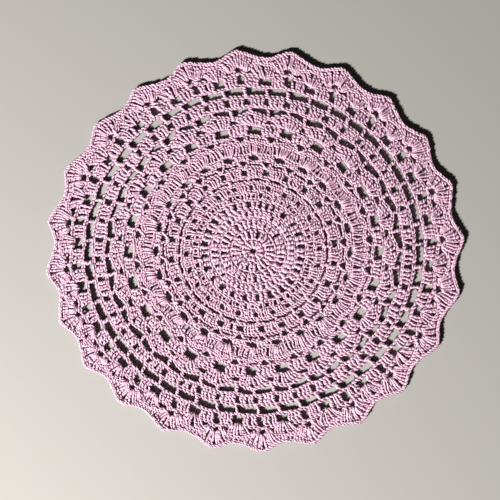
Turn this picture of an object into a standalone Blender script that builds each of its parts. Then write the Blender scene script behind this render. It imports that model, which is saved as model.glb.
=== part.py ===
"""A round crocheted placemat: cotton yarn worked from the middle outwards in 21 rounds.

It is one flat openwork sheet with a rim of 24 scallops. Its gaps are cut right through, and its
rounds stand up as low ridges. +Z is up, +X runs along its longer width, and the origin is the
middle of its flat underside. Sizes are in millimetres until the points become a mesh.
"""
import math
import random
from collections import namedtuple

import bmesh
import bpy
from mathutils import Vector
from mathutils.geometry import delaunay_2d_cdt

MM = 0.001

# The pattern repeats once for each scallop, counted from the tip nearest +X
SCALLOPS = 24
REPEAT = math.tau / SCALLOPS
FIRST_TIP = math.radians(3.5)

# The rim runs from tip to tip, with its deepest place a little before half way
TIP_RADIUS = 199.3
SCALLOP_DEPTH = 8.4
VALLEY_PLACE = 0.44
VALLEY_POWER = 1.35
RIM_POINTS = 9

# Heights of the upper face over the flat underside
RIM_HEIGHT = 2.6
GAP_HEIGHT = 2.8

# How the handmade mat lies: wider along X, the outer rounds shifted from the middle ring
STRETCH_X = 1.02
STRETCH_Y = 0.98
OUTER_SHIFT = 2.0
MEAN_TURN = 0.7

# Slow waves round the mat, full at the rim: their count, how far they push the rim outwards and
# turn it, in millimetres and degrees, and the direction in which each is largest, in degrees
Wave = namedtuple("Wave", "count push push_at turn turn_at")
WAVES = [
    Wave(1, 0.00, 0, 2.32, 132),
    Wave(2, 0.57, 113, 0.89, 55),
    Wave(3, 0.31, 204, 0.18, 61),
    Wave(4, 1.00, -4, 0.19, -9),
]

# The ring at the middle, which the first round is worked into
RING_RADIUS = 2.3
RING_POINTS = 10

# Gaps over 4 mm, one row for each kind, 24 of each. place is the gap's middle as a share of the
# repeat, inner and outer its radii, and wide_in, wide_mid and wide_out its widths along the round.
# lean is how far its outer edge lies anticlockwise of its inner edge, and rise how much farther
# out its anticlockwise end lies than its clockwise end.
Gap = namedtuple("Gap", "name place inner outer wide_in wide_mid wide_out lean rise")
GAPS = [
    Gap("round 9, between groups", 0.18, 75.3, 80.7, 5.0, 4.6, 2.8, 0.0, 0.0),
    Gap("round 11, between fans", 0.70, 90.5, 95.0, 7.2, 8.2, 5.6, 0.6, 0.0),
    Gap("round 14, between groups", 0.71, 115.9, 122.8, 10.0, 12.2, 6.6, 0.6, 1.4),
    Gap("round 16, falling arches", 0.08, 135.5, 140.2, 9.6, 12.0, 9.6, -1.0, -4.0),
    Gap("round 16, rising arches", 0.53, 136.5, 140.6, 7.6, 10.2, 7.6, 0.8, 3.0),
    Gap("round 17, over the round 15 valleys", 0.385, 143.6, 150.4, 2.4, 4.2, 2.6, 0.0, 0.0),
    Gap("round 17, over the round 15 shells", 0.88, 144.4, 151.0, 2.6, 5.0, 2.6, 0.0, 0.0),
    Gap("round 18, arches before the valleys", 0.165, 155.3, 161.0, 12.6, 14.6, 11.0, -0.6, -1.0),
    Gap("round 18, arches before the tips", 0.67, 155.3, 160.5, 13.6, 15.2, 12.0, 0.0, 0.0),
    Gap("round 19, under the valleys", 0.455, 163.8, 170.4, 7.2, 8.8, 7.4, 0.0, 0.4),
    Gap("round 19, under the tips", -0.02, 165.6, 174.8, 4.2, 5.2, 4.0, 1.8, 0.0),
    Gap("round 20, in the tips", -0.005, 178.6, 182.9, 5.2, 5.8, 3.4, 0.0, 0.0),
]
# How much the hand-worked gaps differ: in width, as a share, and in place, in millimetres
GAP_UNEVEN = 0.10
GAP_DRIFT = 0.35

# Tops and hollows of the upper face, one row for each ring of them: radius, height, how many go
# round the mat, and the place of the first as a share of the repeat
Relief = namedtuple("Relief", "name radius height count place")
RELIEF = [
    Relief("round 1, top", 7.2, 3.9, 12, 0.00),
    Relief("round 1, foot of the next", 12.6, 2.8, 12, 1.00),
    Relief("round 2, pairs", 18.0, 4.1, 12, 0.00),
    Relief("round 2, foot of the next", 23.8, 2.8, 24, 0.50),
    Relief("round 3, top", 28.6, 4.1, 24, 0.00),
    Relief("round 3, foot of the next", 33.2, 2.8, 24, 0.50),
    Relief("round 4, top", 37.4, 4.1, 24, 0.00),
    Relief("round 4, foot of the next", 42.2, 2.8, 24, 0.25),
    Relief("round 5, pairs", 46.8, 4.1, 24, 0.65),
    Relief("round 6, arches", 54.0, 2.4, 24, 0.25),
    Relief("round 7, groups", 62.6, 4.2, 24, 0.41),
    Relief("round 8, arches", 69.6, 2.4, 24, 0.02),
    Relief("round 9, groups", 77.6, 4.2, 24, 0.68),
    Relief("round 10, arches", 86.0, 2.4, 24, 0.14),
    Relief("round 11, fans", 92.6, 4.2, 24, 0.20),
    Relief("round 12, between shells", 98.0, 2.6, 24, 0.19),
    Relief("round 12, shells", 101.8, 4.2, 24, 0.70),
    Relief("round 13, arches", 111.4, 2.4, 48, 0.17),
    Relief("round 14, groups", 119.6, 4.2, 24, 0.21),
    Relief("round 15, between shells", 127.2, 2.5, 24, 0.31),
    Relief("round 15, shells", 130.6, 4.2, 24, 0.80),
    Relief("round 16, posts", 139.2, 3.0, 48, 0.30),
    Relief("round 17, groups", 148.4, 4.2, 48, 0.13),
    Relief("round 17, chain", 153.4, 3.2, 48, 0.38),
    Relief("round 18, posts", 158.8, 3.0, 48, 0.42),
    Relief("round 19, groups", 169.4, 4.2, 48, 0.22),
    Relief("round 20, valley shells", 179.0, 4.2, 24, 0.50),
    Relief("round 20, feet of the scallops", 184.4, 2.8, 48, 0.30),
    Relief("round 21, scallops, left side", 189.6, 4.1, 24, 0.12),
    Relief("round 21, scallops, right side", 189.6, 4.1, 24, 0.88),
]
# A top or hollow nearer than this to a gap is left out
RELIEF_CLEAR = 1.4

# The triangulation keeps what lies inside the rim, leaves holes out, and merges nothing that shows
INSIDE_WITHOUT_HOLES = 2
MERGE_MM = 1e-6

COTTON_COLOUR = (0.62, 0.40, 0.50, 1.0)
COTTON_ROUGHNESS = 0.9


def place_angle(place):
    """The angle of a place that is counted in repeats from the first tip."""
    return FIRST_TIP + place * REPEAT


def lay(radius, angle):
    """Where the handmade mat has a point of the evenly drawn one, in millimetres."""
    share = (radius / TIP_RADIUS) ** 2
    turn = MEAN_TURN
    push = 0.0
    for wave in WAVES:
        turn += wave.turn * math.cos(wave.count * angle - math.radians(wave.turn_at))
        push += wave.push * math.cos(wave.count * angle - math.radians(wave.push_at))
    angle += share * math.radians(turn)
    radius += share * push
    x = STRETCH_X * radius * math.cos(angle) + OUTER_SHIFT * share
    y = STRETCH_Y * radius * math.sin(angle)
    return Vector((x, y))


def rim_loop():
    """The scalloped edge, anticlockwise from the first tip."""
    points = []
    for step in range(SCALLOPS * RIM_POINTS):
        place = step / RIM_POINTS
        share = place % 1.0
        if share < VALLEY_PLACE:
            bend = 0.5 * share / VALLEY_PLACE
        else:
            bend = 0.5 + 0.5 * (share - VALLEY_PLACE) / (1.0 - VALLEY_PLACE)
        dip = SCALLOP_DEPTH * math.sin(math.pi * bend) ** VALLEY_POWER
        points.append(lay(TIP_RADIUS - dip, place_angle(place)))
    return points


def ring_loop():
    """The round hole at the middle."""
    return [lay(RING_RADIUS, math.tau * step / RING_POINTS) for step in range(RING_POINTS)]


def gap_loops():
    """Every gap as a six-sided loop with rounded sides, each a little unlike its neighbour."""
    hand = random.Random(24)
    loops = []
    for gap in GAPS:
        middle = 0.5 * (gap.inner + gap.outer)
        slope = gap.rise / gap.wide_mid
        for index in range(SCALLOPS):
            angle = place_angle(gap.place + index)
            wide = 1.0 + hand.uniform(-GAP_UNEVEN, GAP_UNEVEN)
            along = hand.uniform(-GAP_DRIFT, GAP_DRIFT)
            out = hand.uniform(-GAP_DRIFT, GAP_DRIFT)
            corners = [
                (gap.inner, 0.5 * gap.wide_in * wide - 0.5 * gap.lean),
                (gap.inner, -0.5 * gap.wide_in * wide - 0.5 * gap.lean),
                (middle, -0.5 * gap.wide_mid * wide),
                (gap.outer, -0.5 * gap.wide_out * wide + 0.5 * gap.lean),
                (gap.outer, 0.5 * gap.wide_out * wide + 0.5 * gap.lean),
                (middle, 0.5 * gap.wide_mid * wide),
            ]
            loops.append([lay(radius + out + slope * side, angle + (side + along) / radius)
                          for radius, side in corners])
    return loops


def distance_to_loop(point, loop):
    """How far a point lies from the nearest side of a loop."""
    nearest = math.inf
    for start, end in zip(loop, loop[1:] + loop[:1]):
        side = end - start
        share = (point - start).dot(side) / side.length_squared
        foot = start + side * min(1.0, max(0.0, share))
        nearest = min(nearest, (point - foot).length)
    return nearest


def inside_loop(point, loop):
    """Whether a point lies inside a loop."""
    inside = False
    for start, end in zip(loop, loop[1:] + loop[:1]):
        if (start.y > point.y) != (end.y > point.y):
            cross = start.x + (point.y - start.y) * (end.x - start.x) / (end.y - start.y)
            inside ^= point.x < cross
    return inside


def relief_points(loops):
    """Tops and hollows that lie on yarn, clear of every gap, with their heights."""
    points = []
    for row in RELIEF:
        for index in range(row.count):
            angle = place_angle(row.place + index * SCALLOPS / row.count)
            point = lay(row.radius, angle)
            clear = all(distance_to_loop(point, loop) > RELIEF_CLEAR and not inside_loop(point, loop)
                        for loop in loops)
            if clear:
                points.append((point, row.height))
    return points


def triangles(points, rim, gaps):
    """The triangles inside the rim and outside the gaps, through all the points given."""
    corners = []
    outlines = []
    for loop in [rim] + gaps:
        outlines.append(list(range(len(corners), len(corners) + len(loop))))
        corners += loop
    corners += points
    found = delaunay_2d_cdt(corners, [], outlines, INSIDE_WITHOUT_HOLES, MERGE_MM)
    source = [names[0] for names in found[3]]
    return [[source[corner] for corner in face] for face in found[2]]


def mat_mesh():
    """The mat as one closed mesh, its box centred over the origin."""
    rim = rim_loop()
    gaps = [ring_loop()] + gap_loops()
    tops = relief_points(gaps)
    middle = Vector(((max(p.x for p in rim) + min(p.x for p in rim)) / 2,
                     (max(p.y for p in rim) + min(p.y for p in rim)) / 2))

    edge = [(point, RIM_HEIGHT) for point in rim]
    for loop in gaps:
        edge += [(point, GAP_HEIGHT) for point in loop]

    shape = bmesh.new()
    upper = [shape.verts.new((*((point - middle) * MM), height * MM))
             for point, height in edge + tops]
    for face in triangles([point for point, height in tops], rim, gaps):
        shape.faces.new([upper[corner] for corner in face])

    open_edges = [side for side in shape.edges if side.is_boundary]
    drawn = bmesh.ops.extrude_edge_only(shape, edges=open_edges)["geom"]
    for corner in drawn:
        if isinstance(corner, bmesh.types.BMVert):
            corner.co.z = 0.0
    lower_edges = [side for side in drawn if isinstance(side, bmesh.types.BMEdge)]
    bmesh.ops.triangle_fill(shape, use_beauty=True, edges=lower_edges)
    bmesh.ops.recalc_face_normals(shape, faces=shape.faces)

    mesh = bpy.data.meshes.new("mat")
    shape.to_mesh(mesh)
    shape.free()
    return mesh


def cotton():
    """Dusty pink cotton yarn, matt all over."""
    material = bpy.data.materials.new("dusty pink cotton yarn")
    material.use_nodes = True
    surface = material.node_tree.nodes["Principled BSDF"]
    surface.inputs["Base Color"].default_value = COTTON_COLOUR
    surface.inputs["Roughness"].default_value = COTTON_ROUGHNESS
    surface.inputs["Metallic"].default_value = 0.0
    return material


for old in list(bpy.data.objects):
    bpy.data.objects.remove(old, do_unlink=True)

placemat = bpy.data.collections.new("crocheted placemat")
bpy.context.scene.collection.children.link(placemat)

mat = bpy.data.objects.new("mat", mat_mesh())
mat.data.materials.append(cotton())
placemat.objects.link(mat)
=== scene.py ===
"""A round crocheted placemat in dusty pink cotton yarn, laid flat on a pale table.

The mat is drawn stitch by stitch, round by round from its middle ring to its scalloped rim.
"""
import math
from collections import namedtuple

import bpy
import numpy as np
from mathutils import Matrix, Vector
from mathutils.geometry import delaunay_2d_cdt


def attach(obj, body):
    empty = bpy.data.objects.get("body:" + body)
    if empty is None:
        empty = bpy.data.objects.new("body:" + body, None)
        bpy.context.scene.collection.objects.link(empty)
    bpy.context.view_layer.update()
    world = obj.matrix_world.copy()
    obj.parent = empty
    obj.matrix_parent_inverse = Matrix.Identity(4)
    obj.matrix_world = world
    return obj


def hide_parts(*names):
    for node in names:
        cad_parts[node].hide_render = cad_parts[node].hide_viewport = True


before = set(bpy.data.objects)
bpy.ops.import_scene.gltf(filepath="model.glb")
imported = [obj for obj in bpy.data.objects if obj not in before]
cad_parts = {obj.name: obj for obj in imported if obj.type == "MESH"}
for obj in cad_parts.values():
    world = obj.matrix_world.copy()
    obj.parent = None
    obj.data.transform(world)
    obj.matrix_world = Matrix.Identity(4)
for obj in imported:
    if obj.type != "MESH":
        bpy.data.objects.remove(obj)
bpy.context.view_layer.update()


# The middle ring and round 1: one loop of soft cotton yarn with twelve double crochet hooked
# into it. The whole mat is worked from this one yarn, so how the yarn, the stitches and the
# slightly uneven handmade rounds are drawn is said here.

# The mat's sizes are in millimetres, and MM turns them into metres
MM = 0.001

# The scalloped rim: twenty-four tips, with a valley a little before half way between each two
SCALLOPS = 24
FIRST_TIP = math.radians(3.5)
TIP_RADIUS = 199.3
SCALLOP_DEPTH = 8.4
VALLEY_PLACE = 0.44
VALLEY_POWER = 1.35

# How the handmade mat lies: wider along X, the outer rounds shifted and turned against the middle
# ring, and slow waves round it. Each has its count round the mat, its push outwards in millimetres
# and its turn in degrees, both with the angle where they are largest.
STRETCH_X = 1.02
STRETCH_Y = 0.98
OUTER_SHIFT = 2.0
MEAN_TURN = 0.7
Wave = namedtuple("Wave", "count push push_at turn turn_at")
WAVES = [
    Wave(1, 0.00, 0, 2.32, 132),
    Wave(2, 0.57, 113, 0.89, 55),
    Wave(3, 0.31, 204, 0.18, 61),
    Wave(4, 1.00, -4, 0.19, -9),
]


def place_angle(place):
    """The angle of a place that is counted in scallops from the first tip."""
    return FIRST_TIP + np.asarray(place) * math.tau / SCALLOPS


def lay(radius, angle):
    """Where the handmade mat has a point of the evenly drawn one, in millimetres."""
    share = (radius / TIP_RADIUS) ** 2
    turn = MEAN_TURN
    push = 0.0
    for wave in WAVES:
        turn = turn + wave.turn * np.cos(wave.count * angle - math.radians(wave.turn_at))
        push = push + wave.push * np.cos(wave.count * angle - math.radians(wave.push_at))
    angle = angle + share * np.radians(turn)
    radius = radius + share * push
    x = STRETCH_X * radius * np.cos(angle) + OUTER_SHIFT * share
    y = STRETCH_Y * radius * np.sin(angle)
    return np.stack([x, y], axis=-1)


def rim_radius(place):
    """The radius of the scalloped edge, which is deepest a little before half way."""
    share = np.asarray(place) % 1.0
    before = 0.5 * share / VALLEY_PLACE
    after = 0.5 + 0.5 * (share - VALLEY_PLACE) / (1.0 - VALLEY_PLACE)
    bend = np.where(share < VALLEY_PLACE, before, after)
    return TIP_RADIUS - SCALLOP_DEPTH * np.sin(math.pi * bend) ** VALLEY_POWER


# The rim drawn with nine points a scallop, and the middle of its box, where the frame has its origin
RIM_POINTS = 9
rim_places = np.arange(SCALLOPS * RIM_POINTS) / RIM_POINTS
rim_line = lay(rim_radius(rim_places), place_angle(rim_places))
MAT_MIDDLE = (rim_line.max(axis=0) + rim_line.min(axis=0)) / 2

# The yarn: a round strand that is pressed thin where stitches crowd and swells where they are loose.
# BALL_MM is the length of yarn that each strand's place in the twist is drawn from.
YARN_SIDES = 5
YARN_RADIUS = 1.00
LEAST_RADIUS = 0.70
LOOSE_RADIUS = 1.15
CHAIN_RADIUS = 1.00
ROPE_RADIUS = 1.02
BALL_MM = 50.0

# The hand that works it, and how far it lets a stitch stray, least along the tightly drawn rim
HAND_SEED = 2024
HAND_DRIFT = 0.60
ROPE_DRIFT = 0.20
hand = np.random.default_rng(HAND_SEED)

Stitch = namedtuple("Stitch", "place radius foot")
Round = namedtuple("Round", "piece places radii")


def single(place, radius, foot=None):
    """One stitch with its foot in the round below, or one chain stitch if it has no foot."""
    return [Stitch(place, radius, foot)]


def stitches(count, top, radius, foot=None, bow=0.0):
    """Stitches spread over a span of their round, from and to, with feet spread over a span of
    the round below, or chain stitches if there is no foot. They bow outwards in the middle."""
    share = np.linspace(0.0, 1.0, count)
    places = top[0] + (top[1] - top[0]) * share
    radii = radius[0] + (radius[1] - radius[0]) * share + bow * 4.0 * share * (1.0 - share)
    feet = [None] * count if foot is None else list(foot[0] + (foot[1] - foot[0]) * share)
    return [Stitch(*row) for row in zip(places, radii, feet)]


def spacing(points):
    """How far each point is from the nearer of its two neighbours, in millimetres."""
    apart = np.linalg.norm(points - np.roll(points, 1, axis=0), axis=1)
    return np.minimum(apart, np.roll(apart, -1))[:, None]


# The shape of a stitch, from its foot at 0 to its top at 1, in millimetres across and up. The first
# row is for a stitch with room, whose two strands twist round each other, and the second for one in
# a fan, whose strands lie on each other at the foot and part above it. At the top the front strand
# crosses over the back one.
FOOT_TO_TOP = np.array([0.0, 0.16, 0.33, 0.50, 0.66, 0.83, 1.0])
FRONT_ACROSS = np.array([[-0.55, -0.30, 0.55, 1.10, 0.85, -0.30, -1.10],
                         [0.10, 0.20, 0.45, 0.90, 0.95, -0.25, -1.15]])
FRONT_UP = np.array([[2.45, 2.20, 2.25, 2.65, 3.10, 3.20, 2.20],
                     [2.10, 3.75, 3.45, 2.90, 2.70, 3.00, 2.20]])
BACK_ACROSS = np.array([[0.60, 0.45, -0.50, -1.05, -0.80, -0.05, 0.70],
                        [0.00, -0.10, -0.20, -0.75, -0.95, -0.15, 0.80]])
BACK_UP = np.array([[2.75, 3.10, 3.05, 2.45, 1.95, 1.75, 1.60],
                    [1.90, 3.30, 2.50, 2.50, 2.50, 2.00, 1.60]])
END_TAPER = np.array([1.0, 1.0, 1.0, 1.0, 1.0, 1.0, 0.65])

# Which of these points is half way up, and the height that strands cross above and below
HALF_WAY = 3
MIDDLE_UP = 2.1

# A strand starts past its foot, or before it in a fan, lifted over the chain there, ends short of
# the top, and swells on the way. A fan's front strand lies higher than the back one until they part,
# and at the foot every other stitch of it lies over its neighbours.
FOOT_START = 0.9
FAN_START = -2.0
TOP_SHORT = 0.8
SWELL_SHARE = 0.35
FOOT_LIFT = 0.45
STACK_LIFT = 0.35
STACK_DRIFT = 0.25
PARTED_SHARE = 0.55

# The hook of each strand round the chain below: along the stitch and further back in a fan, across
# and up, with the strand's taper and its largest radius there
HOOK_ALONG = np.array([1.1, -0.4, -0.9])
HOOK_BACK = np.array([0.0, 0.9, 1.2])
HOOK_ACROSS = np.array([0.3, 0.6, 0.55])
HOOK_UP = np.array([1.05, 1.00, 1.50])
HOOK_TAPER = np.array([0.6, 1.0, 1.0])
HOOK_RADIUS = 0.9

# How stitches share the room they have. Feet nearer than CROWDED_SPACING begin to lie on each other,
# and lie so fully where they are CROWDING nearer still. A strand's radius is a share of the spacing
# of its feet or tops. Its swing across grows with the spacing from a least one, which is larger
# towards the top, and is as drawn where a stitch stands alone.
CROWDED_SPACING = 2.8
CROWDING = 1.4
FOOT_SHARE = 0.46
TOP_SHARE = 0.34
FRONT_SHARE = 0.38
FRONT_LEAST = 0.85
BACK_SHARE = 0.27
TIGHT_SPACING = 2.0
LOOSER_SPACING = 1.4
LONE_SPACING = 7.0
ROOM_RANGE = (0.25, 1.35)
LEAST_ROOM = np.clip(1.6 * FOOT_TO_TOP - 0.4, 0.25, 0.85)

# What differs from stitch to stitch: how loose it is, its bow to one side, how far up its twist
# sits, how high it lies, and how high its front strand crosses over the back one
LOOSENESS = (0.70, 1.35)
SIDE_BOW = 0.70
WAIST_DRIFT = 0.24
LEVEL_DRIFT = 0.32
CROSSING = (0.65, 1.30)

# The slanted wraps of a tall stitch: each one's share of the way up, how much more in a fan, and how
# far apart the tops have to be for it to show. It leans from one side of the stitch to the other and
# is highest in the middle.
Wrap = namedtuple("Wrap", "share fan_share least_spacing")
WRAPS = [Wrap(0.28, 0.24, 2.5), Wrap(0.60, 0.16, 0.0)]
TALL_POST = 7.0
WRAP_LEAN = np.linspace(-1.0, 1.0, 5)
WRAP_TAPER = np.array([0.45, 0.85, 0.95, 0.85, 0.45])
WRAP_SLANT = (0.5, 1.5)
WRAP_DRIFT = 0.07
WRAP_WIDE = 1.25
WRAP_FAN_ROOM = 0.8
WRAP_FOOT_UP = 2.05
WRAP_FAN_UP = 0.5
WRAP_RISE = 1.6


def post_lines(foot, top, bloom):
    """The strands of each stitch: out from under the chain below, over it and up to the top, the
    front one crossing over the back one, and two slanted wraps over a tall stitch.
    Where feet crowd, they lie on each other. Returns bundles of centre-lines with their radius."""
    along = top - foot
    height = np.linalg.norm(along, axis=1, keepdims=True)
    along = along / height
    side = np.stack([along[:, 1], -along[:, 0]], axis=1)
    count = len(foot)

    crowd = spacing(foot)
    crowd_above = spacing(top)
    stacked = np.clip((CROWDED_SPACING - crowd) / CROWDING, 0.0, 1.0)
    thin = np.clip(FOOT_SHARE * crowd, LEAST_RADIUS, YARN_RADIUS)
    thin = np.minimum(thin, np.clip(TOP_SHARE * crowd_above, LEAST_RADIUS, YARN_RADIUS))
    front_thick = bloom * np.clip(FRONT_SHARE * crowd_above, FRONT_LEAST, LOOSE_RADIUS)
    back_thick = bloom * np.clip(BACK_SHARE * crowd_above, LEAST_RADIUS, LOOSE_RADIUS)
    over = stacked * STACK_DRIFT * np.where(np.arange(count)[:, None] % 2, 1.0, -1.0)
    room = [np.where(gap > LONE_SPACING, 1.0,
                     np.clip((gap - TIGHT_SPACING) / LOOSER_SPACING, *ROOM_RANGE))
            for gap in (crowd, crowd_above)]
    room = room[0] + (room[1] - room[0]) * FOOT_TO_TOP
    room = np.maximum(room, LEAST_ROOM)

    loose = hand.uniform(*LOOSENESS, (count, 1))
    bow = hand.uniform(-SIDE_BOW, SIDE_BOW, (count, 1)) * np.sin(math.pi * FOOT_TO_TOP)
    waist = hand.uniform(-WAIST_DRIFT, WAIST_DRIFT, (count, 1))
    rise = FOOT_TO_TOP + waist * np.sin(math.pi * FOOT_TO_TOP)
    level = hand.uniform(-LEVEL_DRIFT, LEVEL_DRIFT, (count, 1))
    crossing = hand.uniform(*CROSSING, (count, 1))

    def placed(distance, across, up):
        """Points that are so far along each stitch from its foot, across it and up."""
        flat = (foot[:, None] + along[:, None] * distance[..., None]
                + side[:, None] * across[..., None])
        return np.concatenate([flat, np.broadcast_to(up, distance.shape)[..., None]], axis=2)

    start = FOOT_START + (FAN_START - FOOT_START) * stacked
    distance = start + (height - TOP_SHORT - start) * rise
    spread = 1.0 - stacked * np.clip(1.0 - FOOT_TO_TOP / PARTED_SHARE, 0.0, 1.0)
    foot_lift = (FOOT_LIFT + over) * (1.0 - FOOT_TO_TOP) ** 3 + level
    swell = np.clip(FOOT_TO_TOP / SWELL_SHARE, 0.0, 1.0)
    strands = []
    for sign, across, up, thick in ((1.0, FRONT_ACROSS, FRONT_UP, front_thick),
                                    (-1.0, BACK_ACROSS, BACK_UP, back_thick)):
        radius = (thin + (thick - thin) * swell) * END_TAPER
        radius = np.concatenate([np.minimum(thin, HOOK_RADIUS) * HOOK_TAPER, radius], axis=1)
        hook = placed(HOOK_ALONG - stacked * HOOK_BACK, sign * HOOK_ACROSS * (1.0 - stacked),
                      HOOK_UP + STACK_LIFT * sign * stacked)
        across = across[0] + (across[1] - across[0]) * stacked
        up = up[0] + (up[1] - up[0]) * stacked
        up = MIDDLE_UP + (up - MIDDLE_UP) * crossing + foot_lift + STACK_LIFT * sign * (1.0 - spread)
        body = placed(distance, spread * room * loose * across + bow, up)
        strands.append((np.concatenate([hook, body], axis=1), radius))

    wide = WRAP_WIDE * loose * np.maximum(room[:, [HALF_WAY]], WRAP_FAN_ROOM * stacked)
    across = wide * np.sin(WRAP_LEAN * math.pi / 2) + bow[:, [HALF_WAY]]
    up = level + WRAP_FOOT_UP + WRAP_FAN_UP * stacked + WRAP_RISE * np.cos(WRAP_LEAN * math.pi / 2)
    for wrap in WRAPS:
        slant = hand.uniform(*WRAP_SLANT, (count, 1))
        share = wrap.share + wrap.fan_share * stacked
        middle = height * (share + hand.uniform(-WRAP_DRIFT, WRAP_DRIFT, (count, 1)))
        lines = placed(middle - slant * WRAP_LEAN, across, up)
        seen = ((height > TALL_POST) & (crowd_above > wrap.least_spacing))[:, 0]
        strands.append((lines[seen], back_thick[seen] * WRAP_TAPER))
    return strands


# The shape of one chain stitch, a loop that widens from its foot and closes under the next one's:
# how far along, as a share of its length and in millimetres more, and how far across and up
CHAIN_SHARE = np.array([0.0, 0.22, 0.52, 0.85, 1.0, 0.85, 0.52, 0.22, 0.0])
CHAIN_EXTRA = np.array([-0.3, 0.0, 0.0, 0.1, 0.9, 0.1, 0.0, 0.0, -0.3])
CHAIN_ACROSS = np.array([-0.25, -0.60, -1.10, -1.30, 0.0, 1.30, 1.10, 0.60, 0.25])
CHAIN_UP = np.array([1.60, 3.00, 3.20, 2.50, 1.10, 2.50, 3.20, 3.00, 1.60])

# What differs from loop to loop: how wide it is, how far it rolls over and leans along the chain,
# its shift from one side to the other, and how high it lies. A roped chain is narrower, rolls over
# more and leans more.
CHAIN_WIDTH = (0.9, 1.15)
ROPE_WIDTH = 0.62
CHAIN_ROLL = 0.20
ROPE_ROLL = 0.28
CHAIN_SKEW = (0.1, 0.6)
ROPE_SKEW = 0.6
CHAIN_SHIFT = (0.6, 1.2)
CHAIN_LEVEL_DRIFT = 0.10


def chain_lines(nodes, roped, spread, lift):
    """The loops of the chain along the top of a round, each drawn through the one before. Where
    no stitch is under it, or all along the rim, it is drawn together into a round rope."""
    along = np.roll(nodes, -1, axis=0) - nodes
    pitch = np.linalg.norm(along, axis=1, keepdims=True)
    along = along / pitch
    out = np.stack([along[:, 1], -along[:, 0]], axis=1)
    count = len(nodes)
    roped = roped[:, None]
    roll = hand.normal(0.0, 1.0, (count, 1)) * np.where(roped, ROPE_ROLL, CHAIN_ROLL)
    skew = hand.uniform(*CHAIN_SKEW, (count, 1)) + np.where(roped, ROPE_SKEW, 0.0)
    width = spread * np.where(roped, ROPE_WIDTH, 1.0) * hand.uniform(*CHAIN_WIDTH, (count, 1))
    across = width * CHAIN_ACROSS
    across = across + hand.uniform(*CHAIN_SHIFT, (count, 1)) * (CHAIN_SHARE - 0.5)
    level = hand.uniform(-CHAIN_LEVEL_DRIFT, CHAIN_LEVEL_DRIFT, (count, 1))
    high = CHAIN_UP + lift + across * np.sin(roll) + level
    across = across * np.cos(roll)
    distance = pitch * CHAIN_SHARE + CHAIN_EXTRA + skew * across
    flat = nodes[:, None] + along[:, None] * distance[..., None] + out[:, None] * across[..., None]
    return np.concatenate([flat, high[..., None]], axis=2)


def yarn_mesh(name, bundles):
    """One mesh of round strands. Each bundle is an array of centre-lines with equally many points,
    and the radius there. The map holds the way round a strand and the millimetres along it, and
    the tone is a strand's own."""
    corners, quads, caps, quad_map, cap_map, tones = [], [], [], [], [], []
    first = 0
    sides = np.arange(YARN_SIDES)
    after = (sides + 1) % YARN_SIDES
    turn = math.tau * sides / YARN_SIDES
    for lines, radius in bundles:
        count, steps = lines.shape[:2]
        if count == 0:
            continue
        # The strand's own sideways direction is carried along its line, so that it doesn't twist
        heading = np.gradient(lines, axis=1)
        heading /= np.linalg.norm(heading, axis=2, keepdims=True)
        cross = np.zeros_like(lines)
        cross[:, 0] = np.cross(heading[:, 0], (0.0, 0.0, 1.0))
        for step in range(steps):
            kept = cross[:, max(step - 1, 0)]
            ahead = heading[:, step]
            kept = kept - (kept * ahead).sum(axis=1, keepdims=True) * ahead
            cross[:, step] = kept / np.linalg.norm(kept, axis=1, keepdims=True)
        rise = np.cross(heading, cross)
        round_strand = (np.cos(turn)[:, None] * cross[:, :, None]
                        + np.sin(turn)[:, None] * rise[:, :, None])
        thick = np.broadcast_to(radius, (count, steps))[:, :, None, None]
        corners.append((lines[:, :, None] + thick * round_strand).reshape(-1, 3))
        run = np.linalg.norm(np.diff(lines, axis=1), axis=2).cumsum(axis=1)
        run = np.concatenate([np.zeros((count, 1)), run], axis=1)
        run += hand.uniform(0.0, BALL_MM, (count, 1))
        tones.append(np.repeat(hand.uniform(0.0, 1.0, count), steps * YARN_SIDES))

        ring = first + np.arange(count * steps).reshape(count, steps, 1) * YARN_SIDES
        here, there = ring[:, :-1], ring[:, 1:]
        walls = np.stack([here + sides, here + after, there + after, there + sides], axis=-1)
        quads.append(walls.reshape(-1, 4))
        shape = (count, steps - 1, YARN_SIDES)
        around = np.stack([sides, sides + 1, sides + 1, sides], axis=-1) / YARN_SIDES
        around = np.broadcast_to(around, (*shape, 4))
        low = np.broadcast_to(run[:, :-1, None], shape)
        high = np.broadcast_to(run[:, 1:, None], shape)
        lengthwise = np.stack([low, low, high, high], axis=-1)
        quad_map.append(np.stack([around, lengthwise], axis=-1).reshape(-1, 2))

        for end, order in ((0, sides[::-1]), (-1, sides)):
            caps.append(ring[:, end] + order)
            cap_around = np.broadcast_to(order / YARN_SIDES, (count, YARN_SIDES))
            cap_run = np.broadcast_to(run[:, end, None], (count, YARN_SIDES))
            cap_map.append(np.stack([cap_around, cap_run], axis=-1).reshape(-1, 2))
        first += count * steps * YARN_SIDES

    corners = np.concatenate(corners)
    corners[:, :2] -= MAT_MIDDLE
    corners[:, 2] = np.maximum(corners[:, 2], 0.0)
    faces = np.concatenate(quads).tolist() + np.concatenate(caps).tolist()
    mesh = bpy.data.meshes.new(name)
    mesh.from_pydata(corners * MM, [], faces)
    mesh.polygons.foreach_set("use_smooth", np.ones(len(mesh.polygons), bool))
    strand_map = mesh.uv_layers.new(name="strand")
    strand_map.uv.foreach_set("vector", np.concatenate(quad_map + cap_map).ravel())
    tone = mesh.attributes.new("tone", "FLOAT", "POINT")
    tone.data.foreach_set("value", np.concatenate(tones))
    mesh.update()
    return mesh


def linear(code):
    """The linear colour of an sRGB hex code."""
    parts = [int(code[start:start + 2], 16) / 255 for start in (1, 3, 5)]
    parts = [part / 12.92 if part <= 0.04045 else ((part + 0.055) / 1.055) ** 2.4 for part in parts]
    return parts + [1.0]


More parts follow.
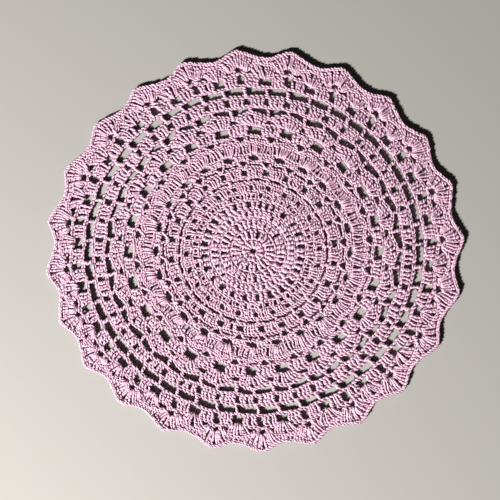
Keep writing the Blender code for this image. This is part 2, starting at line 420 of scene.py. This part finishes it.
def add_node(tree, kind, inputs=(), **settings):
    """Adds one node with its settings. An input takes a number or another node's output."""
    node = tree.nodes.new(kind)
    for name, value in settings.items():
        setattr(node, name, value)
    for name, value in dict(inputs).items():
        if isinstance(value, bpy.types.NodeSocket):
            tree.links.new(value, node.inputs[name])
        else:
            node.inputs[name].default_value = value
    return node


# Plied cotton yarn, dyed a dusty pink, with four plies twisted once in about 9 mm. The eye gets fine
# slanted ridges with painted shade in the grooves, crests painted paler as a highlight with a soft
# shine, painted shade down between the strands and a slight bloom of loose fibres. A cotton fibre is
# far too fine to show, so fibres are drawn 0.6 mm coarse. Slubs, the thicker lengths of a yarn, take
# the dye a little differently.
PLIES = 4
PLY_TWIST_MM = 9.0
FIBRE_MM = 0.6
SLUB_MM = 14.0
# The dye's light and deep colours, a dark painted shade for the yarn down between the strands, and
# the tint of the bloom
COTTON_LIGHT = "#E4BED1"
COTTON_DEEP = "#A15676"
INSIDE_PAINTED_SHADE = "#441A2C"
COTTON_BLOOM = "#F6E6EE"

# How much of the lighter colour each brings: a ply's ridge, so that its groove is painted shade, a
# strand's own tone, a slub, the fibres, and the fabric's crests, which are a painted highlight. From
# the fabric's middle plane outwards a dark painted shade gives way to them, so the yarn is painted
# darker the nearer it lies to the middle of the fabric, down between the strands.
PLY_GROOVE_PAINTED_SHADE = 0.15
TONE_SHADE = 0.15
SLUB_SHADE = 0.15
FIBRE_SHADE = 0.10
CREST_PAINTED_LIGHT = 0.50
MIDDLE_MM = 1.5
INSIDE_MM = 0.1
OUTSIDE_MM = 2.4

# The relief of plies and fibres, and how the yarn takes the light
RELIEF_MM = 0.16
RELIEF_STRENGTH = 0.8
FIBRE_RELIEF = 0.35
SMOOTHEST = 0.38
ROUGHEST = 0.58
SHINE = 0.9
BLOOM_WEIGHT = 0.15
BLOOM_ROUGHNESS = 0.45

cotton = bpy.data.materials.new("plied cotton yarn, dusty pink")
cotton.use_nodes = True
tree = cotton.node_tree
surface = tree.nodes["Principled BSDF"]
strand = add_node(tree, "ShaderNodeUVMap", uv_map="strand")
along = add_node(tree, "ShaderNodeSeparateXYZ", {"Vector": strand.outputs["UV"]})
ply_turn = add_node(tree, "ShaderNodeMath", {0: along.outputs["X"], 1: PLIES * math.pi},
                    operation="MULTIPLY")
ply_phase = add_node(tree, "ShaderNodeMath",
                     {0: along.outputs["Y"], 1: PLIES * math.pi / PLY_TWIST_MM,
                      2: ply_turn.outputs[0]}, operation="MULTIPLY_ADD")
ply_wave = add_node(tree, "ShaderNodeMath", {0: ply_phase.outputs[0]}, operation="SINE")
ply = add_node(tree, "ShaderNodeMath", {0: ply_wave.outputs[0]}, operation="ABSOLUTE")
spot = add_node(tree, "ShaderNodeTexCoord")
fibre = add_node(tree, "ShaderNodeTexNoise",
                 {"Vector": spot.outputs["Object"], "Scale": 1 / (FIBRE_MM * MM),
                  "Detail": 3.0, "Roughness": 0.6})
slub = add_node(tree, "ShaderNodeTexNoise",
                {"Vector": spot.outputs["Object"], "Scale": 1 / (SLUB_MM * MM), "Detail": 2.0})
tone = add_node(tree, "ShaderNodeAttribute", attribute_name="tone")

# A ply's groove is painted darker than its ridge as painted shade; a strand's tone, slubs and fibres
# add their own lighter and darker colour.
ply_groove_shade = add_node(tree, "ShaderNodeMath", {0: ply.outputs[0], 1: PLY_GROOVE_PAINTED_SHADE},
                     operation="MULTIPLY")
tone_share = add_node(tree, "ShaderNodeMath",
                      {0: tone.outputs["Fac"], 1: TONE_SHADE, 2: ply_groove_shade.outputs[0]},
                      operation="MULTIPLY_ADD")
slub_share = add_node(tree, "ShaderNodeMath",
                      {0: slub.outputs["Fac"], 1: SLUB_SHADE, 2: tone_share.outputs[0]},
                      operation="MULTIPLY_ADD")
shade = add_node(tree, "ShaderNodeMath",
                 {0: fibre.outputs["Fac"], 1: FIBRE_SHADE, 2: slub_share.outputs[0]},
                 operation="MULTIPLY_ADD")
# Painted light and shade by height: from the fabric's middle plane outwards the yarn goes from a
# dark painted shade to its own colour, and its crests are painted paler still as a highlight.
level = add_node(tree, "ShaderNodeSeparateXYZ", {"Vector": spot.outputs["Object"]})
above = add_node(tree, "ShaderNodeMath", {0: level.outputs["Z"], 1: MIDDLE_MM * MM},
                 operation="SUBTRACT")
outwards = add_node(tree, "ShaderNodeMath", {0: above.outputs[0]}, operation="ABSOLUTE")
painted_light_by_height = add_node(tree, "ShaderNodeMapRange",
                 {"Value": outwards.outputs[0], "From Min": INSIDE_MM * MM,
                  "From Max": OUTSIDE_MM * MM}, interpolation_type="SMOOTHSTEP")
pale = add_node(tree, "ShaderNodeMath",
                {0: painted_light_by_height.outputs["Result"], 1: CREST_PAINTED_LIGHT, 2: shade.outputs[0]},
                operation="MULTIPLY_ADD")
colour = add_node(tree, "ShaderNodeMix",
                  {0: pale.outputs[0], 6: linear(COTTON_DEEP), 7: linear(COTTON_LIGHT)},
                  data_type="RGBA")
colour_with_painted_shade = add_node(tree, "ShaderNodeMix",
                         {0: painted_light_by_height.outputs["Result"], 6: linear(INSIDE_PAINTED_SHADE),
                          7: colour.outputs[2]}, data_type="RGBA")
relief = add_node(tree, "ShaderNodeMath",
                  {0: fibre.outputs["Fac"], 1: FIBRE_RELIEF, 2: ply.outputs[0]},
                  operation="MULTIPLY_ADD")
bump = add_node(tree, "ShaderNodeBump",
                {"Height": relief.outputs[0], "Distance": RELIEF_MM * MM,
                 "Strength": RELIEF_STRENGTH})
rough = add_node(tree, "ShaderNodeMapRange",
                 {"Value": fibre.outputs["Fac"], "To Min": SMOOTHEST, "To Max": ROUGHEST})
tree.links.new(colour_with_painted_shade.outputs[2], surface.inputs["Base Color"])
tree.links.new(bump.outputs["Normal"], surface.inputs["Normal"])
tree.links.new(rough.outputs["Result"], surface.inputs["Roughness"])
surface.inputs["Specular IOR Level"].default_value = SHINE
surface.inputs["Sheen Weight"].default_value = BLOOM_WEIGHT
surface.inputs["Sheen Roughness"].default_value = BLOOM_ROUGHNESS
surface.inputs["Sheen Tint"].default_value = linear(COTTON_BLOOM)

# The ring's own line, which the feet of round 1 go round
RING_LINE_RADIUS = 4.2
RING_POINTS = 16


def crochet(name, pattern, below=None, repeats=SCALLOPS, spread=1.05, lift=0.0, bloom=1.0,
            rope=False):
    """Works one round: its stitches into the chain of the round below, and its own chain on top,
    spread out and lifted, which is drawn together like a rope where it hangs free, or all along.
    The yarn of loose stitches blooms, so it is thicker."""
    step = SCALLOPS / repeats
    worked = [(stitch.place + index * step, stitch.radius, stitch.foot, index * step)
              for index in range(repeats) for stitch in pattern]
    places = np.array([row[0] for row in worked])
    radii = np.array([row[1] for row in worked])
    stray = hand.uniform(-HAND_DRIFT, HAND_DRIFT, len(places))
    places += stray / (radii * math.tau / SCALLOPS)
    drift = ROPE_DRIFT if rope else HAND_DRIFT
    radii += hand.uniform(-drift, drift, len(radii))
    nodes = lay(radii, place_angle(places))

    free = np.array([row[2] is None for row in worked])
    foot_places = np.array([row[2] + row[3] for row in worked if row[2] is not None])
    if below is None:
        foot_radii = np.full(len(foot_places), RING_LINE_RADIUS)
    else:
        foot_radii = np.interp(foot_places, below.places, below.radii, period=SCALLOPS)
    stray = hand.uniform(-HAND_DRIFT, HAND_DRIFT, len(foot_places))
    foot_places += stray / (foot_radii * math.tau / SCALLOPS)
    feet = lay(foot_radii, place_angle(foot_places))

    roped = free | rope
    chain_radius = np.where(roped, ROPE_RADIUS, CHAIN_RADIUS)[:, None]
    bundles = post_lines(feet, nodes[~free], bloom)
    bundles.append((chain_lines(nodes, roped, spread, lift), chain_radius))
    if below is None:
        ring = lay(RING_LINE_RADIUS, np.linspace(0.0, math.tau, RING_POINTS))
        ring = np.concatenate([ring, np.full((RING_POINTS, 1), MIDDLE_UP)], axis=1)
        bundles.append((ring[None], YARN_RADIUS))
    piece = bpy.data.objects.new(name, yarn_mesh(name, bundles))
    piece.data.materials.append(cotton)
    bpy.context.scene.collection.objects.link(piece)
    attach(piece, "root")
    return Round(piece, places, radii)


round_01 = crochet("round_01", single(0.0, 11.6, 0.0), repeats=12, spread=1.45, bloom=1.3)


# Rounds 2 to 4: the close middle of the mat. Pairs, then groups of three with a chain between,
# then forty-eight stitches, each hooked under the chain along the top of the last round.
round_02 = crochet("round_02",
                   stitches(2, (1.13, 2.08), (22.9, 22.9), (1.33, 2.13)),
                   round_01, repeats=12, spread=1.4, bloom=1.15)
round_03 = crochet("round_03",
                   stitches(3, (0.39, 1.63), (32.8, 32.8), (0.43, 1.57))
                   + single(2.02, 32.8),
                   round_02, repeats=12, spread=1.2, bloom=1.08)
round_04 = crochet("round_04",
                   stitches(4, (0.12, 1.60), (41.2, 41.2), (0.14, 1.52)),
                   round_03, repeats=12, bloom=1.15)


# Rounds 5 to 11: pairs, then V stitches, posts and chains, each round of them with a round of
# groups of five worked over it
round_05 = crochet("round_05",
                   stitches(2, (0.45, 0.85), (51.4, 51.4), (0.46, 0.83))
                   + single(1.15, 51.5),
                   round_04, bloom=1.02)
round_06 = crochet("round_06",
                   stitches(2, (0.07, 0.43), (60.0, 59.4), (0.19, 0.40))
                   + stitches(2, (0.60, 0.93), (58.0, 58.6), (0.58, 0.91)),
                   round_05, spread=1.2, bloom=0.95)
round_07 = crochet("round_07",
                   stitches(5, (0.13, 0.75), (67.3, 67.3), (0.10, 0.65), bow=0.4)
                   + single(0.93, 67.0),
                   round_06, spread=1.2)
round_08 = crochet("round_08",
                   single(0.06, 74.0, -0.04)
                   + stitches(4, (0.25, 0.87), (72.8, 72.8), bow=0.8),
                   round_07, spread=1.2)
round_09 = crochet("round_09",
                   stitches(5, (0.35, 1.01), (82.4, 82.4), (0.38, 0.92), bow=0.4)
                   + single(1.17, 82.3),
                   round_08, spread=1.2)
round_10 = crochet("round_10",
                   single(-0.12, 89.2, 0.13)
                   + stitches(2, (0.04, 0.26), (90.5, 90.5))
                   + single(0.42, 89.2, 0.22)
                   + stitches(3, (0.52, 0.78), (88.0, 88.0), bow=0.4),
                   round_09, spread=1.4, bloom=0.9)
round_11 = crochet("round_11",
                   stitches(5, (-0.05, 0.51), (95.4, 95.4), (0.01, 0.41), bow=-1.1)
                   + stitches(2, (0.64, 0.83), (97.2, 97.2)),
                   round_10, spread=1.15)


# Rounds 12 to 15: broad shells of eleven, a round of V stitches and chains, groups of five with
# wide gaps between them, and shells of eight with a chain stitch in the middle
round_12 = crochet("round_12",
                   stitches(2, (0.23, 0.32), (106.4, 106.8), (0.29, 0.42))
                   + stitches(7, (0.41, 0.97), (107.2, 107.2), (0.53, 0.88), bow=2.0)
                   + stitches(2, (1.06, 1.15), (106.8, 106.4), (0.98, 1.09)),
                   round_11, lift=0.3, bloom=1.12)
round_13 = crochet("round_13",
                   single(-0.09, 114.0, 0.13)
                   + stitches(2, (0.06, 0.24), (115.2, 115.2))
                   + single(0.40, 114.0, 0.20)
                   + stitches(4, (0.50, 0.81), (112.4, 113.7)),
                   round_12, spread=1.5)
round_14 = crochet("round_14",
                   stitches(5, (-0.07, 0.48), (124.4, 124.4), (-0.01, 0.44), bow=-0.2)
                   + stitches(3, (0.59, 0.83), (124.1, 125.1), bow=0.2),
                   round_13, spread=1.1)
round_15 = crochet("round_15",
                   stitches(4, (0.37, 0.71), (131.9, 136.2), (0.49, 0.69), bow=0.2)
                   + single(0.80, 136.8)
                   + stitches(4, (0.88, 1.23), (135.8, 131.2), (0.75, 0.99), bow=0.2),
                   round_14, lift=0.3)


# Rounds 16 to 18: the open mesh, long chains hung between single posts, with a round of close
# groups of four between them
round_16 = crochet("round_16",
                   single(0.35, 142.2, 0.30)
                   + stitches(3, (0.46, 0.70), (142.6, 142.8))
                   + single(0.81, 142.9, 0.80)
                   + stitches(4, (0.91, 1.26), (143.4, 141.8)),
                   round_15)
round_17 = crochet("round_17",
                   stitches(4, (-0.02, 0.29), (152.7, 152.7), (0.00, 0.27))
                   + stitches(4, (0.47, 0.78), (152.7, 152.7), (0.49, 0.77)),
                   round_16, spread=0.95)
round_18 = crochet("round_18",
                   single(-0.05, 162.9, -0.105)
                   + stitches(4, (0.05, 0.34), (163.2, 162.0))
                   + single(0.43, 162.0, 0.375)
                   + stitches(4, (0.53, 0.86), (162.2, 162.8)),
                   round_17)


# Rounds 19 to 21: groups of four with gaps at the tips and valleys, shells and V stitches, and
# the twenty-four pointed scallops with single stitches between them. The last chain is the edge.
round_19 = crochet("round_19",
                   stitches(4, (0.07, 0.32), (173.9, 173.4), (0.08, 0.29))
                   + single(0.455, 171.8)
                   + stitches(4, (0.60, 0.87), (173.4, 174.2), (0.62, 0.83))
                   + single(0.98, 176.6),
                   round_18)
round_20 = crochet("round_20",
                   stitches(4, (0.25, 0.445), (182.4, 184.8), (0.32, 0.457), bow=0.4)
                   + single(0.515, 184.9)
                   + stitches(4, (0.575, 0.755), (184.8, 182.4), (0.473, 0.60), bow=0.4)
                   + single(0.805, 178.8)
                   + single(0.90, 180.8, 0.89)
                   + stitches(3, (0.955, 1.04), (183.2, 183.2), bow=0.7)
                   + single(1.095, 180.4, 1.09)
                   + single(1.185, 177.8),
                   round_19, lift=0.3)

# How far inside the rim the middle of the edge chain runs
EDGE_INSET = 1.7


def edge_stitches(count, top, foot=None):
    """Stitches whose tops follow the scalloped rim."""
    return [Stitch(stitch.place, float(rim_radius(stitch.place)) - EDGE_INSET, stitch.foot)
            for stitch in stitches(count, top, (0.0, 0.0), foot)]


round_21 = crochet("round_21",
                   edge_stitches(6, (-0.31, -0.03), (-0.18, -0.015))
                   + edge_stitches(1, (0.02, 0.02))
                   + edge_stitches(6, (0.07, 0.38), (0.015, 0.18))
                   + edge_stitches(4, (0.45, 0.63), (0.40, 0.70)),
                   round_20, spread=1.25, lift=0.5, bloom=1.12, rope=True)


# The heart of the fabric: the turns of yarn that lie hidden between the stitches and close the
# slits there. They are drawn as one thin openwork web inside the stitches, coloured darker than the
# yarn as painted shade.
WEB_INSET = 2.6
WEB_LOW = 0.7
WEB_HIGH = 1.5

# The gaps between the stitches: the place of the middle in scallops, the inner and outer radius,
# the widths at the inner edge, half way and at the outer edge, how far the gap leans sideways from
# the inner to the outer edge, how far it rises across its width, and every how many scallops it
# comes
Gap = namedtuple("Gap", "name place inner outer wide_in wide_mid wide_out lean rise every",
                 defaults=[1])
GAPS = [
    Gap("round 9, between groups", 0.18, 75.3, 80.7, 5.0, 4.6, 2.8, 0.0, 0.0),
    Gap("round 11, between fans", 0.71, 91.2, 95.0, 7.2, 8.2, 6.0, 0.6, 0.0),
    Gap("round 14, between groups", 0.71, 115.9, 122.8, 10.0, 12.2, 6.6, 0.6, 1.4),
    Gap("round 16, falling arches", 0.08, 135.5, 140.2, 9.6, 12.0, 9.6, -1.0, -4.0),
    Gap("round 16, rising arches", 0.53, 136.5, 140.6, 7.6, 10.2, 7.6, 0.8, 3.0),
    Gap("round 17, over the round 15 valleys", 0.385, 143.6, 150.4, 2.4, 4.2, 2.6, 0.0, 0.0),
    Gap("round 17, over the round 15 shells", 0.88, 144.4, 151.0, 2.6, 5.0, 2.6, 0.0, 0.0),
    Gap("round 18, arches before the valleys", 0.165, 155.3, 161.0, 12.6, 14.6, 11.0, -0.6, -1.0),
    Gap("round 18, arches before the tips", 0.67, 155.3, 160.5, 13.6, 15.2, 12.0, 0.0, 0.0),
    Gap("round 19, under the valleys", 0.455, 163.8, 170.4, 7.2, 8.8, 7.4, 0.0, 0.4),
    Gap("round 19, under the tips", -0.02, 165.6, 174.8, 4.2, 5.2, 4.0, 1.8, 0.0),
    Gap("round 20, in the tips", -0.01, 177.6, 182.6, 5.2, 5.8, 3.4, 0.0, 0.0),
    Gap("round 2, between pairs", 0.68, 14.4, 20.6, 1.2, 1.6, 2.0, -0.6, 0.0, 2),
    Gap("round 3, between groups", 1.98, 25.8, 31.0, 1.8, 2.4, 2.0, 0.4, 0.0, 2),
    Gap("round 4, over the gaps", 1.86, 35.0, 38.4, 1.6, 1.4, 0.8, 0.0, 0.0, 2),
    Gap("round 5, between pairs", 0.12, 44.2, 49.4, 2.2, 2.6, 2.2, 0.4, 0.0),
    Gap("round 6, in the V stitches", 0.27, 53.8, 57.4, 0.6, 1.6, 2.6, 0.0, 0.0),
    Gap("round 6, between the stitches", 0.75, 53.0, 55.2, 2.2, 1.6, 0.8, 0.0, 0.0),
    Gap("round 7, between groups", -0.09, 62.0, 64.0, 3.2, 3.1, 1.8, 0.0, 0.0),
    Gap("round 10, in the V stitches", 0.17, 85.2, 88.0, 0.6, 4.6, 7.4, 0.0, 0.0),
    Gap("round 10, between them", 0.70, 86.9, 87.9, 2.4, 2.6, 2.0, 0.0, 0.0),
    Gap("round 12, between shells", 0.17, 96.4, 100.6, 1.8, 2.6, 1.8, 1.0, 0.0),
    Gap("round 13, in the V stitches", 0.15, 110.8, 113.4, 0.6, 5.4, 9.0, 0.0, 0.0),
    Gap("round 15, between shells", 0.29, 127.2, 129.6, 6.0, 4.2, 1.6, 0.0, 0.0),
    Gap("round 15, in the shells", 0.80, 132.0, 136.0, 0.8, 1.4, 1.4, 0.0, 0.0),
    Gap("round 20, before the shells", 0.215, 175.2, 176.2, 5.0, 4.6, 3.0, 0.0, 0.0),
    Gap("round 20, after the shells", 0.775, 175.6, 177.6, 3.6, 3.4, 1.6, 0.0, 0.0),
    Gap("round 20, in the shells", 0.505, 180.4, 183.2, 0.8, 1.8, 1.8, 0.0, 0.0),
    Gap("round 21, in the tips", 0.02, 192.4, 195.6, 0.6, 1.4, 1.2, 0.0, 0.0),
]

# How much further than a gap looks the web is cut away all round it, and how much round a narrow one
GAP_CLEAR = 1.2
NARROW_CLEAR = 0.4
NARROW_GAP = 3.0

# How the web is cut: the ring's hole with ten points, only the faces that lie inside the rim and
# outside the gaps, and points nearer than this made one
RING_HOLE_POINTS = 10
INSIDE_WITHOUT_HOLES = 2
MERGE_MM = 1e-6


def gap_line(gap, index):
    """One gap of the web: six corners, widened so that the web stays hidden in the stitches."""
    clear = GAP_CLEAR if gap.wide_mid > NARROW_GAP else NARROW_CLEAR
    middle = 0.5 * (gap.inner + gap.outer)
    slope = gap.rise / gap.wide_mid
    angle = place_angle(gap.place + index)
    corners = [
        (gap.inner - clear, 0.5 * gap.wide_in + clear - 0.5 * gap.lean),
        (gap.inner - clear, -0.5 * gap.wide_in - clear - 0.5 * gap.lean),
        (middle, -0.5 * gap.wide_mid - clear),
        (gap.outer + clear, -0.5 * gap.wide_out - clear + 0.5 * gap.lean),
        (gap.outer + clear, 0.5 * gap.wide_out + clear + 0.5 * gap.lean),
        (middle, 0.5 * gap.wide_mid + clear),
    ]
    return [lay(radius + slope * side, angle + side / radius) for radius, side in corners]


def web_mesh():
    """The web as one closed thin sheet with its gaps cut through, and the area of its top."""
    outlines = [list(lay(rim_radius(rim_places) - WEB_INSET, place_angle(rim_places)))]
    outlines.append([lay(RING_LINE_RADIUS, math.tau * step / RING_HOLE_POINTS)
                     for step in range(RING_HOLE_POINTS)])
    outlines += [gap_line(gap, index) for gap in GAPS for index in range(0, SCALLOPS, gap.every)]
    corners, loops = [], []
    for outline in outlines:
        loops.append(list(range(len(corners), len(corners) + len(outline))))
        corners += [Vector(point) for point in outline]
    found = delaunay_2d_cdt(corners, [], loops, INSIDE_WITHOUT_HOLES, MERGE_MM)
    flat = np.array([tuple(point) for point in found[0]]) - MAT_MIDDLE
    upper = [list(face) for face in found[2]]
    count = len(flat)
    high = np.column_stack([flat, np.full(count, WEB_HIGH)])
    low = np.column_stack([flat, np.full(count, WEB_LOW)])
    lower = [[corner + count for corner in reversed(face)] for face in upper]
    sides = {(face[i], face[(i + 1) % len(face)]) for face in upper for i in range(len(face))}
    walls = [[b, a, a + count, b + count] for a, b in sorted(sides) if (b, a) not in sides]
    mesh = bpy.data.meshes.new("web")
    mesh.from_pydata(np.concatenate([high, low]) * MM, [], upper + lower + walls)
    mesh.update()
    area = sum(mesh.polygons[i].area for i in range(len(upper)))
    return mesh, area


web_data, web_area = web_mesh()
web = bpy.data.objects.new("web", web_data)

# The same dyed cotton where its turns lie tangled in the depth of the stitches, painted darker than
# the yarn above as painted shade: rounded crossings of yarn 2 mm apart, with a darker painted shade
# in the grooves between them, and without bloom. The top of a crossing and the groove beside it are
# given as shares of those 2 mm.
TANGLE_MM = 2.0
CROSSING_TOP = 0.15
GROOVE = 0.65
TANGLE_RELIEF_MM = 0.8
TANGLE_ROUGHNESS = 0.9
# The dark painted shade in the grooves, and the darkened colour of the tops of the crossings
GROOVE_PAINTED_SHADE = "#4A2A39"
TANGLE_IN_PAINTED_SHADE = "#A87A90"
web_in_painted_shade = bpy.data.materials.new("plied cotton yarn, tangled in the depth, in painted shade")
web_in_painted_shade.use_nodes = True
tree = web_in_painted_shade.node_tree
deep = tree.nodes["Principled BSDF"]
place = add_node(tree, "ShaderNodeTexCoord")
tangle = add_node(tree, "ShaderNodeTexVoronoi",
                  {"Vector": place.outputs["Object"], "Scale": 1 / (TANGLE_MM * MM)})
crossing = add_node(tree, "ShaderNodeMapRange",
                    {"Value": tangle.outputs["Distance"], "From Min": GROOVE,
                     "From Max": CROSSING_TOP})
tangle_painted_shade = add_node(tree, "ShaderNodeMix",
                         {0: crossing.outputs["Result"], 6: linear(GROOVE_PAINTED_SHADE),
                          7: linear(TANGLE_IN_PAINTED_SHADE)}, data_type="RGBA")
tangle_bump = add_node(tree, "ShaderNodeBump",
                       {"Height": crossing.outputs["Result"], "Distance": TANGLE_RELIEF_MM * MM})
tree.links.new(tangle_painted_shade.outputs[2], deep.inputs["Base Color"])
tree.links.new(tangle_bump.outputs["Normal"], deep.inputs["Normal"])
deep.inputs["Roughness"].default_value = TANGLE_ROUGHNESS
web.data.materials.append(web_in_painted_shade)
bpy.context.scene.collection.objects.link(web)
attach(web, "root")
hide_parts("mat")


# The table: a flat board with one plain coat of pale matt paint, which the mat lies on. Its size is
# in metres, and fills the picture from above.
FLOOR_SIZE = 6.0
FLOOR_PALE = "#ACA8A2"
FLOOR_ROUGHNESS = 0.85
floor_mesh = bpy.data.meshes.new("floor")
half = FLOOR_SIZE / 2
floor_corners = [(-half, -half, 0), (half, -half, 0), (half, half, 0), (-half, half, 0)]
floor_mesh.from_pydata(floor_corners, [], [(0, 1, 2, 3)])
floor = bpy.data.objects.new("floor", floor_mesh)
bpy.context.scene.collection.objects.link(floor)
painted = bpy.data.materials.new("matt painted board, pale")
painted.use_nodes = True
board = painted.node_tree.nodes["Principled BSDF"]
board.inputs["Base Color"].default_value = linear(FLOOR_PALE)
board.inputs["Roughness"].default_value = FLOOR_ROUGHNESS
floor.data.materials.append(painted)


# The light: one round studio lamp from the front left, small and low enough for the crisp shadows
# between the stitches, and a pale room all round that fills them a little. The lamp's distance and
# size are in metres.
KEY_FROM = Vector((-0.72, -0.70, 0.60)).normalized()
KEY_DISTANCE = 2.4
KEY_SIZE = 0.30
KEY_WATTS = 143.0
ROOM_PALE = "#F4F2F0"
ROOM_STRENGTH = 0.024
key_data = bpy.data.lights.new("studio lamp", "AREA")
key_data.shape = "DISK"
key_data.size = KEY_SIZE
key_data.energy = KEY_WATTS
key = bpy.data.objects.new("studio lamp", key_data)
key.location = KEY_FROM * KEY_DISTANCE
key.rotation_mode = "QUATERNION"
key.rotation_quaternion = KEY_FROM.to_track_quat("Z", "Y")
bpy.context.scene.collection.objects.link(key)
room = bpy.data.worlds.new("pale room")
room.use_nodes = True
room.node_tree.nodes["Background"].inputs["Color"].default_value = linear(ROOM_PALE)
room.node_tree.nodes["Background"].inputs["Strength"].default_value = ROOM_STRENGTH
bpy.context.scene.world = room
bpy.context.scene.view_settings.view_transform = "Standard"


# The camera looks straight down, as the photograph does, and takes in 486.5 mm at the height of
# the stitches
VIEW_WIDTH_MM = 486.5
VIEW_CENTRE_MM = (-3.2, 0.8)
STITCHES_UP_MM = 3
LENS = 50.0
SENSOR = 36.0
camera_data = bpy.data.cameras.new("camera")
camera_data.lens = LENS
camera_data.sensor_width = SENSOR
camera = bpy.data.objects.new("camera", camera_data)
across = (VIEW_CENTRE_MM[0] - MAT_MIDDLE[0]) * MM
upwards = (VIEW_CENTRE_MM[1] - MAT_MIDDLE[1]) * MM
distance = VIEW_WIDTH_MM * MM * LENS / SENSOR + STITCHES_UP_MM * MM
camera.location = (across, upwards, distance)
bpy.context.scene.collection.objects.link(camera)
bpy.context.scene.camera = camera
